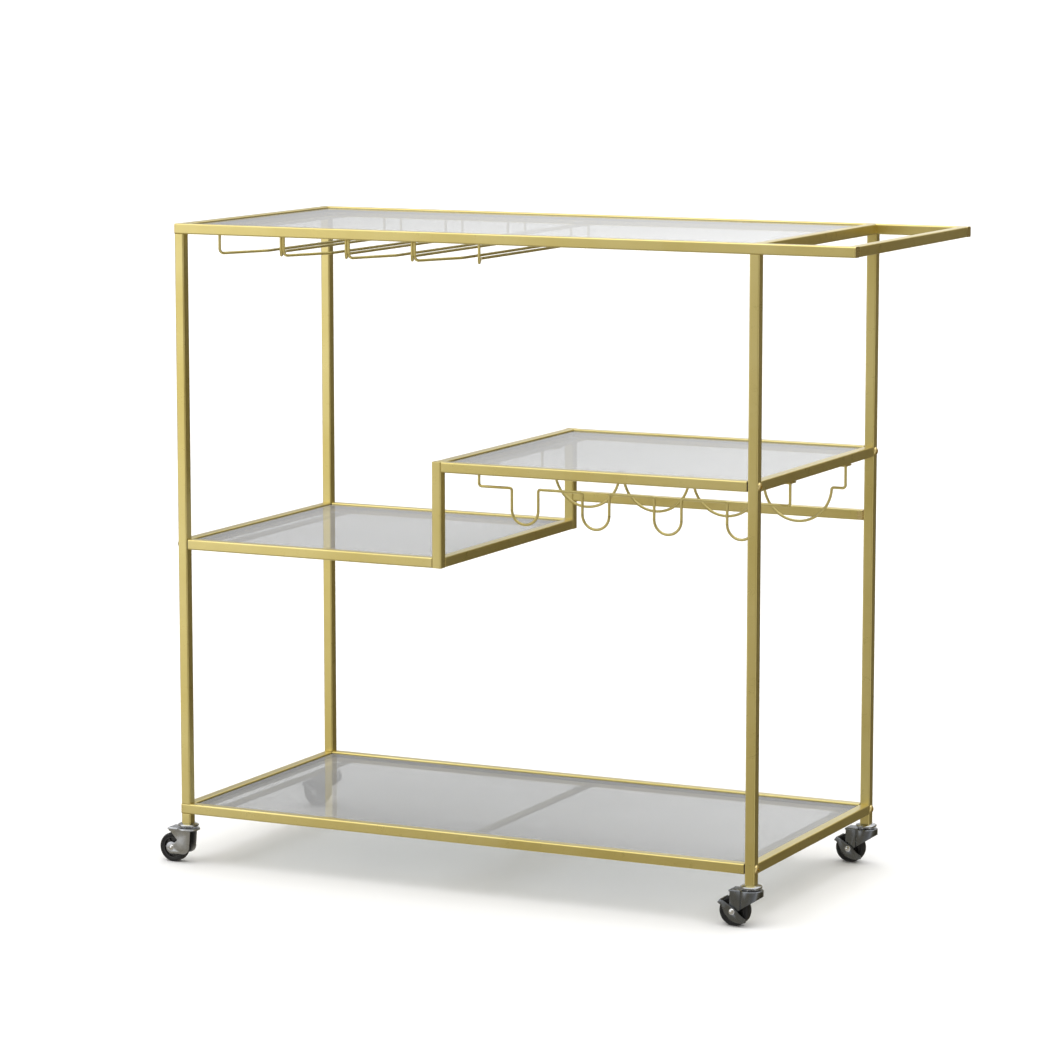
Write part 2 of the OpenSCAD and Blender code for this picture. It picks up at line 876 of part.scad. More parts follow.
module pedal_outline() {
    r = wheel_radius;
    polygon([[-r, 0.53 * r], [-0.93 * r, 0.49 * r], [-0.78 * r, 0.7 * r], [-0.84 * r, 0.75 * r]]);
}

module lever_side_plate(side) {
    translate([0, side * (lever_side + sheet / 2), 0])
        along_axle()
            linear_extrude(sheet, center = true) children();
}

module brake_lever() {
    r = wheel_radius;
    lever_side_plate(-1) lever_outline();
    lever_side_plate(1)
        intersection() {
            lever_outline();
            translate([-2 * r, -r]) square(2.45 * r);
        }
    along_axle()
        linear_extrude(2 * (lever_side + sheet), center = true) pedal_outline();
}

module front_left_fork() {
    color(steel) at_corner(0) plain_fork();
}

module front_left_axle() {
    color(steel) at_corner(0) axle(axle_half_plain);
}

module front_left_wheel() {
    color(black) at_corner(0) wheel(hub_plain);
}

module front_right_fork() {
    color(steel) at_corner(1) braked_fork();
}

module front_right_axle() {
    color(steel) at_corner(1) axle(axle_half_braked);
}

module front_right_wheel() {
    color(black) at_corner(1) wheel(hub_braked);
}

module front_right_brake_lever() {
    color(steel) at_corner(1) brake_lever();
}

module rear_left_fork() {
    color(steel) at_corner(2) braked_fork();
}

module rear_left_axle() {
    color(steel) at_corner(2) axle(axle_half_braked);
}

module rear_left_wheel() {
    color(black) at_corner(2) wheel(hub_braked);
}

module rear_left_brake_lever() {
    color(steel) at_corner(2) brake_lever();
}

module rear_right_fork() {
    color(steel) at_corner(3) braked_fork();
}

module rear_right_axle() {
    color(steel) at_corner(3) axle(axle_half_braked);
}

module rear_right_wheel() {
    color(black) at_corner(3) wheel(hub_braked);
}

module rear_right_brake_lever() {
    color(steel) at_corner(3) brake_lever();
}

top_front_rail();
top_rear_rail();
top_left_rail();
top_cross_rail();
handle_bar();
front_left_post();
rear_left_post();
front_right_post();
rear_right_post();
bottom_front_rail();
bottom_rear_rail();
bottom_left_rail();
bottom_right_rail();
front_left_leg();
rear_left_leg();
low_shelf_front_rail();
low_shelf_rear_rail();
low_shelf_left_rail();
low_shelf_right_rail();
high_shelf_front_rail();
high_shelf_rear_rail();
high_shelf_left_rail();
high_shelf_right_rail();
front_stub();
rear_stub();
back_rail();
top_glass();
low_shelf_glass();
high_shelf_glass();
bottom_glass();
glass_bars();
glass_pads();
stemware_slot_1();
stemware_slot_2();
stemware_slot_3();
stemware_slot_4();
neck_wire();
body_wire();
wine_rack_tabs();
shelf_bolts();
threaded_plugs();
rail_end_caps();
leg_inserts();
caster_stems();
caster_balls();
front_left_fork();
front_left_axle();
front_left_wheel();
front_right_fork();
front_right_axle();
front_right_wheel();
front_right_brake_lever();
rear_left_fork();
rear_left_axle();
rear_left_wheel();
rear_left_brake_lever();
rear_right_fork();
rear_right_axle();
rear_right_wheel();
rear_right_brake_lever();
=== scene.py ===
import math

import bpy
from bpy.props import FloatProperty, FloatVectorProperty, PointerProperty
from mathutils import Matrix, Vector


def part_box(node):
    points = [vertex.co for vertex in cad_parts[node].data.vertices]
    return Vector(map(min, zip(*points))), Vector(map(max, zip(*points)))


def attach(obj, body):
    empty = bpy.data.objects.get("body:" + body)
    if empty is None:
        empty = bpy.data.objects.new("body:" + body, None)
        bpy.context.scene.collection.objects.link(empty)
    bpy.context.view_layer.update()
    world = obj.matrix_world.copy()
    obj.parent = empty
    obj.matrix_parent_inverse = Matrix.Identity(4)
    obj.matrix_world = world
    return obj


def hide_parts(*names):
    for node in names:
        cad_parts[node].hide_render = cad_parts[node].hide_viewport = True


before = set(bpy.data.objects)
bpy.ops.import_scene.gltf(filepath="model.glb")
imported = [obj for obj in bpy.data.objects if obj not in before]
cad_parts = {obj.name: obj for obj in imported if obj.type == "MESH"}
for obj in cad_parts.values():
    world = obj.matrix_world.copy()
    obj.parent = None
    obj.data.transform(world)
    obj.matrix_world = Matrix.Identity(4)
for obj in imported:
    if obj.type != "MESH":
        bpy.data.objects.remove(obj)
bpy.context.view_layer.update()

bl_info = {
    "name": "Bar Cart Finish",
    "version": (1, 0, 0),
    "blender": (4, 5, 0),
    "location": "View3D > Sidebar > Bar Cart",
    "description": "Builds the glass, wheels and finishes of a gold bar cart on its packed frame",
    "category": "Object",
}

MM = 0.001
CORNERS = ("front_left", "front_right", "rear_left", "rear_right")
BRAKED = ("front_right", "rear_left", "rear_right")
TUBE_ENDINGS = ("_rail", "_post", "_leg", "_stub", "_bar")
TUBES = [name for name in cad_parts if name.endswith(TUBE_ENDINGS)]
PANES = ("top_glass", "high_shelf_glass", "low_shelf_glass", "bottom_glass")
RACK_WIRES = ("stemware_slot_1", "stemware_slot_2", "stemware_slot_3", "stemware_slot_4",
              "neck_wire", "body_wire")
# Points nearer than this are one point: on CAD meshes, and on new ones
CAD_GAP = 2e-6
NEW_GAP = 1e-6
# Sharper edges than this stay crisp on a bevelled piece
CRISP = math.radians(35)
# Shares of the wheel's radius
HALF_WIDTH = 7 / 19
RIM = 0.72
BORE = 2.56 / 19
BOSS = 0.27
RIB_COUNT = 6


# ---------- sizes and colours a user would change ----------

class CartFinish(bpy.types.PropertyGroup):
    """Colours and surface of the cart's pieces"""

    gold: FloatVectorProperty(
        name="Gold", description="Colour of the frame's satin gold", subtype="COLOR",
        size=3, min=0.0, max=1.0, default=(0.74, 0.63, 0.262))
    gold_shade: FloatVectorProperty(
        name="Gold shade", description="Deeper gold that the finish drifts to", subtype="COLOR",
        size=3, min=0.0, max=1.0, default=(0.68, 0.56, 0.195))
    gold_roughness: FloatProperty(
        name="Gold roughness", description="How satin the gold is", default=0.30, min=0.05, max=0.9,
        subtype="FACTOR")
    glass: FloatVectorProperty(
        name="Glass", description="Tint of the panes", subtype="COLOR",
        size=3, min=0.0, max=1.0, default=(0.90, 0.91, 0.912))
    # Grey body colour of the panes: a painted reflection of the studio, shown more at a glance
    painted_glass_sheen: FloatVectorProperty(
        name="Glass sheen", description="Grey that the panes show at a glance", subtype="COLOR",
        size=3, min=0.0, max=1.0, default=(0.50, 0.502, 0.51))
    glass_edge: FloatVectorProperty(
        name="Glass edge", description="Colour of the panes' polished edges", subtype="COLOR",
        size=3, min=0.0, max=1.0, default=(0.16, 0.165, 0.158))
    zinc: FloatVectorProperty(
        name="Zinc", description="Colour of the bright caster steel", subtype="COLOR",
        size=3, min=0.0, max=1.0, default=(0.50, 0.515, 0.54))
    dark_zinc: FloatVectorProperty(
        name="Dark zinc", description="Colour of the braked forks and levers", subtype="COLOR",
        size=3, min=0.0, max=1.0, default=(0.185, 0.196, 0.212))
    rubber: FloatVectorProperty(
        name="Rubber", description="Colour of the treads", subtype="COLOR",
        size=3, min=0.0, max=1.0, default=(0.013, 0.013, 0.014))


class CartSizes(bpy.types.PropertyGroup):
    """Small sizes of the detail that Blender adds"""

    edge_round: FloatProperty(
        name="Edge round", description="Rounding of the tubes' cut ends, strips and end caps",
        default=0.35 * MM, min=0.1 * MM, max=1.0 * MM, unit="LENGTH")
    glass_arris: FloatProperty(
        name="Glass arris", description="Bevel ground on the panes' edges",
        default=0.7 * MM, min=0.2 * MM, max=1.5 * MM, unit="LENGTH")


class CartStage(bpy.types.PropertyGroup):
    """Floor, light and camera"""

    camera_place: FloatVectorProperty(
        name="Camera", description="Where the camera stands", subtype="TRANSLATION", unit="LENGTH",
        size=3, default=(2.1743, -4.5406, 1.1685))
    azimuth: FloatProperty(
        name="Azimuth", description="Turn of the camera round the cart, 0 looks along +Y",
        subtype="ANGLE", default=math.radians(26.07))
    elevation: FloatProperty(
        name="Elevation", description="Height of the camera above the horizon",
        subtype="ANGLE", default=math.radians(8.193))
    lens: FloatProperty(
        name="Lens", description="Focal length on a 36 mm sensor",
        default=137.0, min=20.0, max=300.0)
    ceiling: FloatProperty(
        name="Ceiling", description="Strength of the soft light overhead",
        default=2.1, min=0.0, max=5.0)
    surround: FloatProperty(
        name="Surround", description="Strength of the studio walls", default=1.0, min=0.0, max=5.0)
    key: FloatProperty(
        name="Key", description="Power of the soft box at the front left, in watts", default=8.0,
        min=0.0, max=1000.0, unit="POWER")
    floor: FloatVectorProperty(
        name="Floor", description="Colour of the floor", subtype="COLOR",
        size=3, min=0.0, max=1.0, default=(0.95, 0.95, 0.95))


# ---------- help with modelling ----------

def deselect():
    """Object mode with nothing selected"""
    if bpy.context.object and bpy.context.object.mode != "OBJECT":
        bpy.ops.object.mode_set(mode="OBJECT")
    bpy.ops.object.select_all(action="DESELECT")


def pick(*objects):
    deselect()
    for obj in objects:
        obj.select_set(True)
    bpy.context.view_layer.objects.active = objects[0]


def start_point(name, at):
    """A new mesh of one vertex, in edit mode with that vertex selected"""
    deselect()
    bpy.ops.mesh.primitive_plane_add(size=MM, location=(0, 0, 0))
    obj = bpy.context.object
    obj.name = name
    obj.data.name = name
    bpy.ops.object.mode_set(mode="EDIT")
    bpy.ops.mesh.select_all(action="SELECT")
    bpy.ops.mesh.merge(type="CENTER")
    bpy.ops.transform.translate(value=at)
    return obj


def trace(points):
    """Extrudes the selected vertex through the points"""
    for a, b in zip(points, points[1:]):
        bpy.ops.mesh.extrude_region_move(
            TRANSFORM_OT_translate={"value": tuple(Vector(b) - Vector(a))})


def lathe(name, profile, centre, axis, steps):
    """Spins a closed profile of (radius, along the axis) about an axis through centre"""
    axis = Vector(axis).normalized()
    across = Vector((1, 0, 0)) if abs(axis.x) < 0.9 else Vector((0, 1, 0))
    centre = Vector(centre)
    points = [centre + across * r + axis * h for r, h in profile]
    closed = points + [points[0]]
    obj = start_point(name, closed[0])
    trace(closed)
    bpy.ops.mesh.select_all(action="SELECT")
    bpy.ops.mesh.spin(steps=steps, angle=math.tau, center=centre, axis=axis, use_auto_merge=True)
    tidy_mesh()
    bpy.ops.object.mode_set(mode="OBJECT")
    return obj


def tidy_mesh():
    """In edit mode: merges doubles and turns every face outwards"""
    bpy.ops.mesh.select_all(action="SELECT")
    bpy.ops.mesh.remove_doubles(threshold=NEW_GAP)
    bpy.ops.mesh.normals_make_consistent(inside=False)


def round_edges(obj, width, segments=2, angle=40.0):
    """Bevels the sharp edges of a new piece and shades it by angle"""
    pick(obj)
    bevel = obj.modifiers.new("round", "BEVEL")
    bevel.width = width
    bevel.segments = segments
    bevel.limit_method = "ANGLE"
    bevel.angle_limit = math.radians(angle)
    bpy.ops.object.modifier_apply(modifier=bevel.name)
    bpy.ops.object.shade_smooth_by_angle(angle=CRISP)


def smooth(obj, angle=40.0):
    pick(obj)
    bpy.ops.object.shade_smooth_by_angle(angle=math.radians(angle))


def join(pieces, name):
    """One piece out of several"""
    pick(*pieces)
    bpy.ops.object.join()
    obj = bpy.context.object
    obj.name = name
    obj.data.name = name
    return obj


def dress(obj, material, body, slot, *nodes):
    """Gives a new piece its material and body, and hides the CAD nodes that it stands for. The slot
    is not used.
    """
    obj.data.materials.clear()
    obj.data.materials.append(material)
    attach(obj, body)
    if nodes:
        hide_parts(*nodes)


def dress_node(name, material, width=0.0, angle=50.0):
    """Gives a CAD node its material and rounds its hard edges without touching its mesh"""
    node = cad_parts[name]
    pick(node)
    bpy.ops.object.shade_smooth()
    while len(node.material_slots) > 1:
        bpy.ops.object.material_slot_remove()
    if node.material_slots:
        node.material_slots[0].material = material
    else:
        node.data.materials.append(material)
    merge = node.modifiers.new("merge", "WELD")
    merge.merge_threshold = CAD_GAP
    if width:
        bevel = node.modifiers.new("round", "BEVEL")
        bevel.width = width
        bevel.segments = 2
        bevel.limit_method = "ANGLE"
        bevel.angle_limit = math.radians(angle)
        bevel.use_clamp_overlap = True
    normals = node.modifiers.new("normals", "WEIGHTED_NORMAL")
    normals.mode = "FACE_AREA"
    normals.weight = 50


# ---------- materials ----------

def new_material(name):
    material = bpy.data.materials.get(name)
    if material:
        return material, None
    material = bpy.data.materials.new(name)
    material.use_nodes = True
    return material, Tree(material.node_tree)


class Tree:
    """Short hands for building a material's nodes"""

    def __init__(self, tree):
        self.tree = tree
        self.shader = tree.nodes["Principled BSDF"]
        self.place = self.add("ShaderNodeTexCoord").outputs["Object"]

    def add(self, kind, **values):
        node = self.tree.nodes.new(kind)
        for key, value in values.items():
            setattr(node, key, value)
        return node

    def link(self, a, b):
        self.tree.links.new(a, b)

    def stretched(self, scale):
        node = self.add("ShaderNodeMapping")
        node.inputs["Scale"].default_value = scale
        self.link(self.place, node.inputs["Vector"])
        return node.outputs["Vector"]

    def noise(self, scale, detail=3.0, rough=0.5, vector=None):
        node = self.add("ShaderNodeTexNoise")
        node.inputs["Scale"].default_value = scale
        node.inputs["Detail"].default_value = detail
        node.inputs["Roughness"].default_value = rough
        self.link(vector or self.place, node.inputs["Vector"])
        return node.outputs["Fac"]

    def cells(self, scale):
        node = self.add("ShaderNodeTexVoronoi")
        node.inputs["Scale"].default_value = scale
        self.link(self.place, node.inputs["Vector"])
        return node

    def spread(self, value, low, high, start=0.3, end=0.7):
        """Maps a factor from start..end to low..high"""
        node = self.add("ShaderNodeMapRange")
        node.inputs["From Min"].default_value = start
        node.inputs["From Max"].default_value = end
        node.inputs["To Min"].default_value = low
        node.inputs["To Max"].default_value = high
        self.link(value, node.inputs["Value"])
        return node.outputs["Result"]

    def mix(self, factor, a, b):
        """A colour between a and b"""
        node = self.add("ShaderNodeMix", data_type="RGBA")
        for index, value in ((6, a), (7, b)):
            if isinstance(value, bpy.types.NodeSocket):
                self.link(value, node.inputs[index])
            else:
                node.inputs[index].default_value = (*value, 1.0)
        if isinstance(factor, bpy.types.NodeSocket):
            self.link(factor, node.inputs[0])
        else:
            node.inputs[0].default_value = factor
        return node.outputs[2]

    def bump(self, height, strength, distance, below=None):
        node = self.add("ShaderNodeBump")
        node.inputs["Strength"].default_value = strength
        node.inputs["Distance"].default_value = distance
        self.link(height, node.inputs["Height"])
        if below is not None:
            self.link(below, node.inputs["Normal"])
        return node.outputs["Normal"]

    def wire(self, colour=None, roughness=None, normal=None):
        for socket, value in (("Base Color", colour), ("Roughness", roughness), ("Normal", normal)):
            if value is not None:
                self.link(value, self.shader.inputs[socket])

    def values(self, **values):
        for key, value in values.items():
            self.shader.inputs[key.replace("_", " ")].default_value = value


def scaled(colour, share):
    return tuple(c * share for c in colour)


def satin_gold():
    """Champagne gold powder coat: fine grain, faint drift in colour and light rubbing"""
    finish = bpy.context.scene.cart_finish
    material, t = new_material("satin_gold")
    if t is None:
        return material
    drift = t.noise(7.0, 4.0, 0.55)
    rubbed = t.noise(60.0, 4.0, 0.55)
    grain = t.noise(1900.0, 2.0, 0.6)
    peel = t.noise(420.0, 2.0, 0.5)
    base = t.mix(t.spread(drift, 0.0, 1.0, 0.35, 0.65),
                 tuple(finish.gold), tuple(finish.gold_shade))
    colour = t.mix(t.spread(rubbed, 0.0, 0.14, 0.58, 0.78), base, (0.78, 0.67, 0.36))
    level = finish.gold_roughness
    sheen = t.add("ShaderNodeMath", operation="ADD")
    t.link(t.spread(rubbed, level - 0.02, level + 0.025, 0.3, 0.75), sheen.inputs[0])
    t.link(t.spread(grain, -0.02, 0.02), sheen.inputs[1])
    normal = t.bump(peel, 0.03, 0.00003, t.bump(grain, 0.04, 0.00002))
    t.wire(colour, sheen.outputs[0], normal)
    t.values(Metallic=0.96, Coat_Weight=0.22, Coat_Roughness=0.25)
    return material


def bright_gold():
    """Plated gold of the bolts and the rails' end caps"""
    finish = bpy.context.scene.cart_finish
    material, t = new_material("plated_gold")
    if t is None:
        return material
    spots = t.noise(160.0, 5.0, 0.65)
    grain = t.noise(2600.0, 2.0, 0.5)
    colour = t.mix(t.spread(spots, 0.0, 1.0), tuple(finish.gold), (0.72, 0.56, 0.27))
    t.wire(colour, t.spread(spots, 0.2, 0.32), t.bump(grain, 0.05, 0.00003))
    t.values(Metallic=1.0)
    return material


def clear_glass():
    """Clear grey pane: see-through from above, a painted grey reflection that shows more at a
    glance, faint smears
    """
    finish = bpy.context.scene.cart_finish
    material, t = new_material("pane_glass")
    if t is None:
        return material
    smear = t.noise(7.0, 5.0, 0.6, t.stretched((1.0, 2.4, 1.0)))
    dust = t.noise(520.0, 2.0, 0.7)
    share = t.spread(smear, 0.0, 1.0)
    tint = t.mix(share, tuple(finish.glass), scaled(finish.glass, 0.985))
    # Painted reflection: a grey body colour, dimmed by smears, that the glance mix below shows more
    # of at a grazing view
    body = t.mix(share, tuple(finish.painted_glass_sheen), scaled(finish.painted_glass_sheen, 0.93))
    t.wire(body, t.spread(smear, 0.03, 0.06, 0.35, 0.7), t.bump(dust, 0.01, 0.00001))
    t.values(Metallic=0.0, IOR=1.5)
    clear = t.add("ShaderNodeBsdfTransparent")
    t.link(tint, clear.inputs["Color"])
    glance = t.add("ShaderNodeFresnel")
    glance.inputs["IOR"].default_value = 1.5
    both = t.add("ShaderNodeMixShader")
    t.link(t.spread(glance.outputs["Fac"], 0.10, 0.64, 0.04, 0.46), both.inputs[0])
    t.link(clear.outputs[0], both.inputs[1])
    t.link(t.shader.outputs[0], both.inputs[2])
    t.link(both.outputs[0], t.tree.nodes["Material Output"].inputs["Surface"])
    return material


def glass_edge():
    """Polished edge of a pane, darker than its faces"""
    finish = bpy.context.scene.cart_finish
    material, t = new_material("glass_edge")
    if t is None:
        return material
    streak = t.noise(60.0, 4.0, 0.6, t.stretched((1.0, 1.0, 12.0)))
    colour = t.mix(t.spread(streak, 0.0, 1.0),
                   tuple(finish.glass_edge), scaled(finish.glass_edge, 0.72))
    t.wire(colour, t.spread(streak, 0.05, 0.14), t.bump(streak, 0.04, 0.00003))
    t.values(IOR=1.5)
    return material


def clear_silicone():
    """Soft clear bumpers under the panes"""
    material, t = new_material("clear_silicone")
    if t is None:
        return material
    cloud = t.noise(240.0, 3.0, 0.5)
    colour = t.mix(t.spread(cloud, 0.0, 1.0), (0.80, 0.82, 0.80), (0.70, 0.72, 0.70))
    t.wire(colour, t.spread(cloud, 0.2, 0.34), t.bump(cloud, 0.05, 0.00005))
    t.values(Alpha=0.55, IOR=1.41)
    return material


def black_plastic():
    """Dark bronze plastic of the plugs and inserts"""
    material, t = new_material("black_plastic")
    if t is None:
        return material
    mottle = t.noise(300.0, 4.0, 0.6)
    colour = t.mix(t.spread(mottle, 0.0, 1.0), (0.060, 0.045, 0.022), (0.095, 0.074, 0.040))
    t.wire(colour, t.spread(mottle, 0.42, 0.6), t.bump(mottle, 0.15, 0.00006))
    return material


def caster_zinc(name, colour, roughness):
    """Zinc plate on pressed steel: cloudy spangle, drawn grain and dulled patches"""
    material, t = new_material(name)
    if t is None:
        return material
    spangle = t.cells(330.0)
    cloud = t.noise(95.0, 5.0, 0.6)
    drawn = t.noise(800.0, 3.0, 0.6, t.stretched((1.0, 1.0, 7.0)))
    tone = t.mix(t.spread(cloud, 0.0, 1.0, 0.3, 0.7), colour, scaled(colour, 0.8))
    grey = t.add("ShaderNodeSeparateColor")
    t.link(spangle.outputs["Color"], grey.inputs["Color"])
    t.wire(t.mix(t.spread(grey.outputs["Red"], 0.0, 0.28, 0.0, 1.0), tone, scaled(colour, 1.3)),
           t.spread(cloud, roughness - 0.07, roughness + 0.10),
           t.bump(drawn, 0.07, 0.00003, t.bump(spangle.outputs["Distance"], 0.04, 0.00003)))
    t.values(Metallic=1.0)
    return material


def polished_steel():
    """Bright balls, rivets and pins"""
    material, t = new_material("polished_steel")
    if t is None:
        return material
    haze = t.noise(420.0, 4.0, 0.6)
    colour = t.mix(t.spread(haze, 0.0, 1.0), (0.74, 0.74, 0.73), (0.60, 0.60, 0.60))
    t.wire(colour, t.spread(haze, 0.12, 0.24), t.bump(haze, 0.04, 0.00003))
    t.values(Metallic=1.0)
    return material


def wheel_rubber():
    """Black tread: scuffed towards grey, with a fine moulded grain"""
    finish = bpy.context.scene.cart_finish
    material, t = new_material("wheel_rubber")
    if t is None:
        return material
    scuff = t.noise(120.0, 6.0, 0.7)
    grain = t.noise(2400.0, 2.0, 0.6)
    colour = t.mix(t.spread(scuff, 0.0, 0.5, 0.55, 0.8),
                   tuple(finish.rubber), (0.060, 0.059, 0.057))
    relief = t.bump(grain, 0.25, 0.00005, t.bump(scuff, 0.1, 0.0001))
    t.wire(colour, t.spread(scuff, 0.42, 0.62), relief)
    t.values(Specular_IOR_Level=0.3)
    return material


def hub_plastic():
    """Glossier black of the wheel's hub"""
    material, t = new_material("hub_plastic")
    if t is None:
        return material
    flow = t.noise(140.0, 4.0, 0.6)
    colour = t.mix(t.spread(flow, 0.0, 1.0), (0.018, 0.018, 0.019), (0.038, 0.038, 0.039))
    t.wire(colour, t.spread(flow, 0.22, 0.36), t.bump(flow, 0.06, 0.00005))
    return material


def pale_floor():
    """Matt studio floor with the faintest mottle"""
    stage = bpy.context.scene.cart_stage
    material, t = new_material("pale_floor")
    if t is None:
        return material
    mottle = t.noise(1.3, 3.0, 0.5)
    colour = t.mix(t.spread(mottle, 0.0, 1.0), tuple(stage.floor), scaled(stage.floor, 0.985))
    t.wire(colour, t.spread(mottle, 0.6, 0.7))
    t.values(Specular_IOR_Level=0.1)
    return material


# Light of the studio: share of the way round to a side, the level there and how warm it is
WALL_SIDE = (-0.6, -0.7, 0.4)
WALL_STOPS = ((0.0, 0.14, 0.6), (0.2, 0.40, 0.5), (0.29, 1.2, 0.0), (0.41, 0.44, 0.0),
              (0.62, 0.48, 0.2), (0.88, 0.34, 0.45), (0.95, 0.86, 0.0), (1.0, 1.0, 0.0))
CEILING_SIDE = (0.0, 0.0, 1.0)
CEILING_STOPS = ((0.76, 0.0, 0.0), (0.92, 1.0, 0.0))
# What full warmth takes from red, green and blue
WARM = (0.0, 0.25, 0.8)
SOFT_BOX_PLACE = (-2.3, -2.3, 0.6)
SOFT_BOX_AIM = (2.0, 2.2, -0.1)
SOFT_BOX_SIZE = (2.0, 2.4)


# ---------- operators ----------

class CART_OT_frame(bpy.types.Operator):
    """Satin gold on the square tubes, with the cut ends eased"""
    bl_idname = "cart.frame"
    bl_label = "Frame tubes"

    def execute(self, context):
        gold = satin_gold()
        for name in (*TUBES, "glass_bars", "wine_rack_tabs"):
            dress_node(name, gold, context.scene.cart_sizes.edge_round)
        return {"FINISHED"}


class CART_OT_end_plates(bpy.types.Operator):
    """Welded plates just inside the open ends of the step's two upright stubs"""
    bl_idname = "cart.end_plates"
    bl_label = "End plates"

    def execute(self, context):
        thick = 1.5 * MM
        sunk = 0.3 * MM
        bore_share = 0.8
        plates = []
        for name in ("front_stub", "rear_stub"):
            low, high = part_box(name)
            middle = (low + high) / 2
            side = (high.x - low.x) * bore_share
            for z in (low.z + sunk + thick / 2, high.z - sunk - thick / 2):
                deselect()
                bpy.ops.mesh.primitive_cube_add(
                    size=1.0, location=(middle.x, middle.y, z), scale=(side, side, thick))
                plates.append(context_object_applied())
        plate = join(plates, "stub_end_plates")
        round_edges(plate, 0.3 * MM)
        dress(plate, satin_gold(), "cart", "gold_frame")
        return {"FINISHED"}


class CART_OT_panes(bpy.types.Operator):
    """Four glass panes with ground arrises and polished edges"""
    bl_idname = "cart.panes"
    bl_label = "Glass panes"

    def execute(self, context):
        arris = context.scene.cart_sizes.glass_arris
        level = 0.95
        for name in PANES:
            low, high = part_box(name)
            size = high - low
            deselect()
            bpy.ops.mesh.primitive_cube_add(size=1.0, location=(low + high) / 2, scale=size)
            pane = context.object
            pane.name = name.replace("_glass", "_pane")
            bpy.ops.object.transform_apply(location=True, rotation=True, scale=True)
            bpy.ops.object.mode_set(mode="EDIT")
            bpy.ops.mesh.select_all(action="SELECT")
            bpy.ops.mesh.bevel(offset=arris, segments=1, affect="EDGES")
            bpy.ops.object.mode_set(mode="OBJECT")
            dress(pane, clear_glass(), "cart", "clear_glass", name)
            pane.data.materials.append(glass_edge())
            for face in pane.data.polygons:
                face.material_index = 0 if abs(face.normal.z) > level else 1
        return {"FINISHED"}


class CART_OT_small_parts(bpy.types.Operator):
    """Bolts, plugs, inserts and the pads under the glass"""
    bl_idname = "cart.small_parts"
    bl_label = "Bolts, plugs and pads"

    def execute(self, context):
        dress_node("shelf_bolts", bright_gold(), 0.15 * MM, 35.0)
        dress_node("rail_end_caps", bright_gold(), context.scene.cart_sizes.edge_round)
        dress_node("threaded_plugs", black_plastic(), 0.15 * MM)
        dress_node("leg_inserts", black_plastic(), 0.2 * MM)
        dress_node("glass_pads", clear_silicone(), 0.4 * MM)
        return {"FINISHED"}


class CART_OT_racks(bpy.types.Operator):
    """Stemware and wine rack wires"""
    bl_idname = "cart.racks"
    bl_label = "Rack wires"

    def execute(self, context):
        gold = satin_gold()
        for name in RACK_WIRES:
            dress_node(name, gold)
        return {"FINISHED"}


class CART_OT_wheels(bpy.types.Operator):
    """Black wheels: a grooved tread round a ribbed hub"""
    bl_idname = "cart.wheels"
    bl_label = "Wheels"

    def execute(self, context):
        for corner in CORNERS:
            low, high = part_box(corner + "_wheel")
            centre = (low + high) / 2
            radius = (high.x - low.x) / 2
            self.tread(corner, centre, radius)
            self.hub(corner, centre, radius, (high.y - low.y) / 2)
        return {"FINISHED"}

    def tread(self, corner, centre, radius):
        w = radius * HALF_WIDTH
        inner = radius * RIM
        side = [(inner, w * 0.86), (radius * 0.80, w * 0.98), (radius * 0.86, w),
                (radius * 0.93, w * 0.96), (radius * 0.975, w * 0.86), (radius * 0.996, w * 0.70),
                (radius, w * 0.5), (radius, w * 0.07), (radius * 0.985, w * 0.04)]
        profile = side + [(r, -y) for r, y in reversed(side)]
        tyre = lathe(corner + "_tyre", profile, centre, (0, 1, 0), 64)
        smooth(tyre, 40.0)
        dress(tyre, wheel_rubber(), corner + "_wheel", "black_wheel", corner + "_wheel")

    def hub(self, corner, centre, radius, half):
        w = radius * HALF_WIDTH
        bore = radius * BORE
        boss = radius * BOSS
        rim = radius * RIM
        web = w * 0.45
        side = [(bore, half), (boss - radius * 0.02, half), (boss, half - radius * 0.02),
                (boss, web), (radius * 0.64, web), (radius * 0.665, w * 0.90), (rim, w * 0.90)]
        profile = side + [(r, -y) for r, y in reversed(side)]
        hub = lathe(corner + "_hub", profile, centre, (0, 1, 0), 48)
        ribs = [hub]
        for turn in range(RIB_COUNT):
            angle = turn * math.tau / RIB_COUNT
            out = Vector((math.cos(angle), 0, math.sin(angle)))
            deselect()
            bpy.ops.mesh.primitive_cube_add(
                size=1.0, location=centre + out * radius * 0.46, rotation=(0, -angle, 0),
                scale=(radius * 0.40, w * 1.5, radius * 0.075))
            ribs.append(context_object_applied())
        hub = join(ribs, corner + "_hub")
        smooth(hub, 35.0)
        dress(hub, hub_plastic(), corner + "_wheel", "black_wheel")


def context_object_applied():
    bpy.ops.object.transform_apply(location=True, rotation=True, scale=True)
    return bpy.context.object


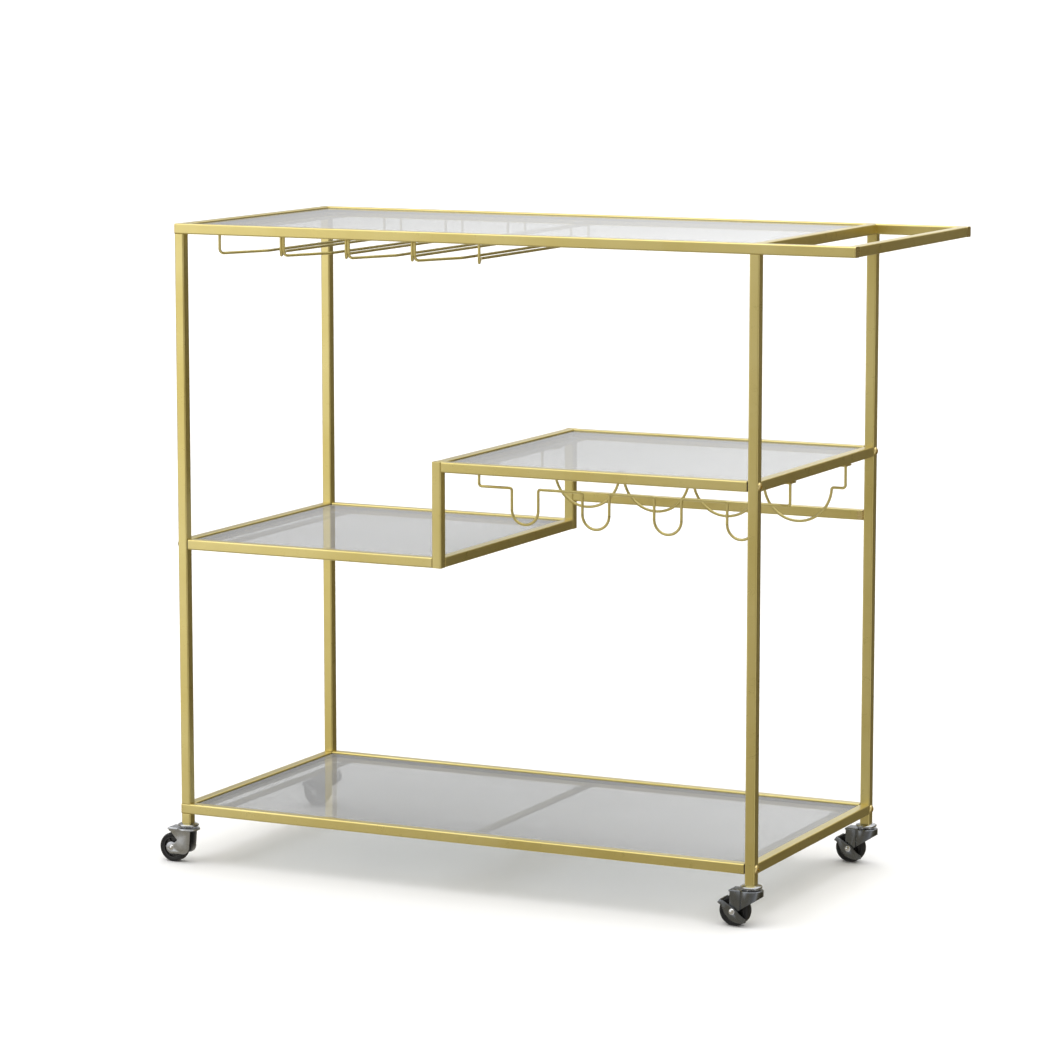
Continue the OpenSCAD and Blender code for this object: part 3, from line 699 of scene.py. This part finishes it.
class CART_OT_caps(bpy.types.Operator):
    """Swivel caps with rolled rims, their stems, kingpins and riveted ends"""
    bl_idname = "cart.caps"
    bl_label = "Swivel caps"

    def execute(self, context):
        low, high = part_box("caster_stems")
        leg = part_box("front_left_leg")[0].z
        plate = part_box("front_left_fork")[1].z
        race_share = 0.37
        race = plate + (leg - plate) * race_share
        first = post_centre("front_left")
        reach = first.x - low.x
        pin_share = 0.222
        pin = reach * pin_share
        rise = leg - race
        rivet = low.z + pin * 0.66
        profile = [
            (0.0, low.z), (pin * 1.1, low.z + pin * 0.12), (pin * 1.5, low.z + pin * 0.36),
            (pin * 1.66, rivet), (pin, rivet), (pin, race), (reach * 0.80, race),
            (reach * 0.93, race + rise * 0.05), (reach * 0.985, race + rise * 0.17),
            (reach, race + rise * 0.34), (reach, race + rise * 0.52),
            (reach * 0.975, race + rise * 0.68), (reach * 0.92, race + rise * 0.80),
            (reach * 0.84, race + rise * 0.87), (reach * 0.79, race + rise * 0.91),
            (reach * 0.75, leg), (pin * 1.33, leg), (pin * 1.33, high.z - pin * 0.2),
            (pin * 1.13, high.z), (0.0, high.z)]
        cap = lathe("swivel_caps", profile, (first.x, first.y, 0.0), (0, 0, 1), 72)
        smooth(cap, 40.0)
        caps = [cap]
        for corner in CORNERS[1:]:
            pick(cap)
            bpy.ops.object.duplicate(linked=False)
            other = context.object
            bpy.ops.transform.translate(value=post_centre(corner) - first)
            bpy.ops.object.transform_apply(location=True, rotation=False, scale=False)
            caps.append(other)
        metal = caster_zinc("polished_zinc", tuple(context.scene.cart_finish.zinc), 0.17)
        dress(join(caps, "swivel_caps"), metal, "cart", "caster_steel", "caster_stems")
        return {"FINISHED"}


def post_centre(corner):
    """Middle of a caster's post, on the floor"""
    low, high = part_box(corner + ("_leg" if "left" in corner else "_post"))
    return Vector(((low.x + high.x) / 2, (low.y + high.y) / 2, 0.0))


class CART_OT_forks(bpy.types.Operator):
    """Pressed forks and brake levers with rolled top rims"""
    bl_idname = "cart.forks"
    bl_label = "Forks and levers"

    def execute(self, context):
        finish = context.scene.cart_finish
        bright = caster_zinc("bright_zinc", tuple(finish.zinc), 0.30)
        dull = caster_zinc("dark_zinc", tuple(finish.dark_zinc), 0.27)
        for corner in CORNERS:
            braked = corner in BRAKED
            self.fork(corner, dull if braked else bright)
            dress_node(corner + "_axle", polished_steel(), 0.1 * MM)
            if braked:
                self.lever(corner, dull)
        dress_node("caster_balls", polished_steel())
        return {"FINISHED"}

    def fork(self, corner, metal):
        fork = merged_copy(corner + "_fork", corner + "_pressed_fork")
        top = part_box(corner + "_fork")[1].z
        middle = post_centre(corner)
        hole = 6 * MM
        near = 0.01 * MM

        def rim(a, b):
            far = min((Vector((v.x, v.y, 0)) - middle).length for v in (a, b))
            return abs(a.z - top) < near and abs(b.z - top) < near and far > hole

        bevel_where(fork, rim, 1.5 * MM, 5)
        round_edges(fork, 0.28 * MM, 2, 30.0)
        dress(fork, metal, corner + "_swivel", "caster_steel", corner + "_fork")

    def lever(self, corner, metal):
        lever = merged_copy(corner + "_brake_lever", corner + "_pressed_lever")
        round_edges(lever, 0.3 * MM, 2, 30.0)
        dress(lever, metal, corner + "_brake", "caster_steel", corner + "_brake_lever")


def merged_copy(node, name):
    """A new piece with a CAD node's shape, its loose triangles merged into whole faces"""
    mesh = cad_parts[node].data.copy()
    obj = bpy.data.objects.new(name, mesh)
    bpy.context.scene.collection.objects.link(obj)
    pick(obj)
    bpy.ops.object.mode_set(mode="EDIT")
    bpy.ops.mesh.select_all(action="SELECT")
    bpy.ops.mesh.remove_doubles(threshold=CAD_GAP)
    bpy.ops.mesh.dissolve_limited(angle_limit=math.radians(1.0))
    bpy.ops.object.mode_set(mode="OBJECT")
    mesh.shade_flat()
    return obj


def bevel_where(obj, test, width, segments):
    """Bevels the sharp edges whose two ends pass the test"""
    pick(obj)
    bpy.ops.object.mode_set(mode="EDIT")
    bpy.ops.mesh.select_mode(type="EDGE")
    bpy.ops.mesh.select_all(action="DESELECT")
    bpy.ops.mesh.edges_select_sharp(sharpness=math.radians(40))
    bpy.ops.object.mode_set(mode="OBJECT")
    points = obj.data.vertices
    keep = [edge.select and test(*(points[i].co for i in edge.vertices)) for edge in obj.data.edges]
    bpy.ops.object.mode_set(mode="EDIT")
    bpy.ops.mesh.select_all(action="DESELECT")
    bpy.ops.object.mode_set(mode="OBJECT")
    obj.data.edges.foreach_set("select", keep)
    bpy.ops.object.mode_set(mode="EDIT")
    bpy.ops.mesh.bevel(offset=width, segments=segments, affect="EDGES", clamp_overlap=True)
    bpy.ops.object.mode_set(mode="OBJECT")


class CART_OT_stage(bpy.types.Operator):
    """Pale floor, soft light all round, a soft key from the left and the camera"""
    bl_idname = "cart.stage"
    bl_label = "Stage"

    def execute(self, context):
        stage = context.scene.cart_stage
        deselect()
        bpy.ops.mesh.primitive_plane_add(size=200.0, location=(0, 0, 0))
        floor = context.object
        floor.name = "studio_floor"
        floor.data.materials.append(pale_floor())
        floor.visible_glossy = False
        self.studio(context, stage)
        self.soft_box(stage)
        self.camera(context, stage)
        context.scene.view_settings.view_transform = "Standard"
        return {"FINISHED"}

    def studio(self, context, stage):
        """White to the camera; to the cart, walls darker to the rear right and a lit ceiling"""
        world = bpy.data.worlds.new("studio")
        context.scene.world = world
        world.use_nodes = True
        t = world.node_tree
        back = t.nodes["Background"]
        place = t.nodes.new("ShaderNodeTexCoord").outputs["Generated"]

        def level(direction, stops):
            towards = t.nodes.new("ShaderNodeVectorMath")
            towards.operation = "DOT_PRODUCT"
            towards.inputs[1].default_value = Vector(direction).normalized()
            t.links.new(place, towards.inputs[0])
            half = t.nodes.new("ShaderNodeMapRange")
            half.inputs["From Min"].default_value = -1.0
            t.links.new(towards.outputs["Value"], half.inputs["Value"])
            ramp = t.nodes.new("ShaderNodeValToRGB")
            ramp.color_ramp.interpolation = "EASE"
            while len(ramp.color_ramp.elements) < len(stops):
                ramp.color_ramp.elements.new(0.5)
            for element, (at, value, warmth) in zip(ramp.color_ramp.elements, stops):
                element.position = at
                element.color = (*(value * (1.0 - warmth * loss) for loss in WARM), 1.0)
            t.links.new(half.outputs["Result"], ramp.inputs["Fac"])
            return ramp.outputs["Color"]

        walls = level(WALL_SIDE, WALL_STOPS)
        lift = level(CEILING_SIDE, CEILING_STOPS)
        bright = stage.ceiling
        both = t.nodes.new("ShaderNodeMix")
        both.data_type = "RGBA"
        t.links.new(lift, both.inputs[0])
        t.links.new(walls, both.inputs[6])
        both.inputs[7].default_value = (bright, bright, bright, 1.0)
        seen = t.nodes.new("ShaderNodeMix")
        seen.data_type = "RGBA"
        seen.inputs[7].default_value = (1.0, 1.0, 1.0, 1.0)
        t.links.new(t.nodes.new("ShaderNodeLightPath").outputs["Is Camera Ray"], seen.inputs[0])
        t.links.new(both.outputs[2], seen.inputs[6])
        t.links.new(seen.outputs[2], back.inputs["Color"])
        back.inputs["Strength"].default_value = stage.surround

    def soft_box(self, stage):
        deselect()
        bpy.ops.object.light_add(type="AREA", location=SOFT_BOX_PLACE)
        box = bpy.context.object
        box.name = "soft_box"
        box.data.shape = "RECTANGLE"
        box.data.size, box.data.size_y = SOFT_BOX_SIZE
        box.data.energy = stage.key
        box.rotation_euler = Vector(SOFT_BOX_AIM).to_track_quat("-Z", "Y").to_euler()

    def camera(self, context, stage):
        deselect()
        bpy.ops.object.camera_add(location=stage.camera_place)
        camera = context.object
        camera.name = "camera"
        a, e = stage.azimuth, stage.elevation
        back = Vector((math.sin(a) * math.cos(e), -math.cos(a) * math.cos(e), math.sin(e)))
        camera.rotation_mode = "QUATERNION"
        camera.rotation_quaternion = (-back).to_track_quat("-Z", "Y")
        camera.data.sensor_width = 36.0
        camera.data.lens = stage.lens
        camera.data.clip_start = 0.05
        camera.data.clip_end = 300.0
        context.scene.camera = camera


class CART_PT_panel(bpy.types.Panel):
    """Builds the cart piece by piece"""
    bl_idname = "CART_PT_panel"
    bl_label = "Bar Cart"
    bl_space_type = "VIEW_3D"
    bl_region_type = "UI"
    bl_category = "Bar Cart"

    def draw(self, context):
        layout = self.layout
        scene = context.scene
        for group in (scene.cart_finish, scene.cart_sizes, scene.cart_stage):
            box = layout.box()
            for name in group.__annotations__:
                box.prop(group, name)
        for operator in OPERATORS:
            layout.operator(operator.bl_idname)


OPERATORS = (CART_OT_frame, CART_OT_end_plates, CART_OT_panes, CART_OT_small_parts,
             CART_OT_racks, CART_OT_wheels, CART_OT_caps, CART_OT_forks, CART_OT_stage)
GROUPS = (CartFinish, CartSizes, CartStage)


def register():
    for item in (*GROUPS, *OPERATORS, CART_PT_panel):
        bpy.utils.register_class(item)
    bpy.types.Scene.cart_finish = PointerProperty(type=CartFinish)
    bpy.types.Scene.cart_sizes = PointerProperty(type=CartSizes)
    bpy.types.Scene.cart_stage = PointerProperty(type=CartStage)


def unregister():
    del bpy.types.Scene.cart_stage
    del bpy.types.Scene.cart_sizes
    del bpy.types.Scene.cart_finish
    for item in reversed((*GROUPS, *OPERATORS, CART_PT_panel)):
        bpy.utils.unregister_class(item)


def build():
    register()
    for operator in OPERATORS:
        group, name = operator.bl_idname.split(".")
        getattr(getattr(bpy.ops, group), name)()


if __name__ == "__main__":
    build()
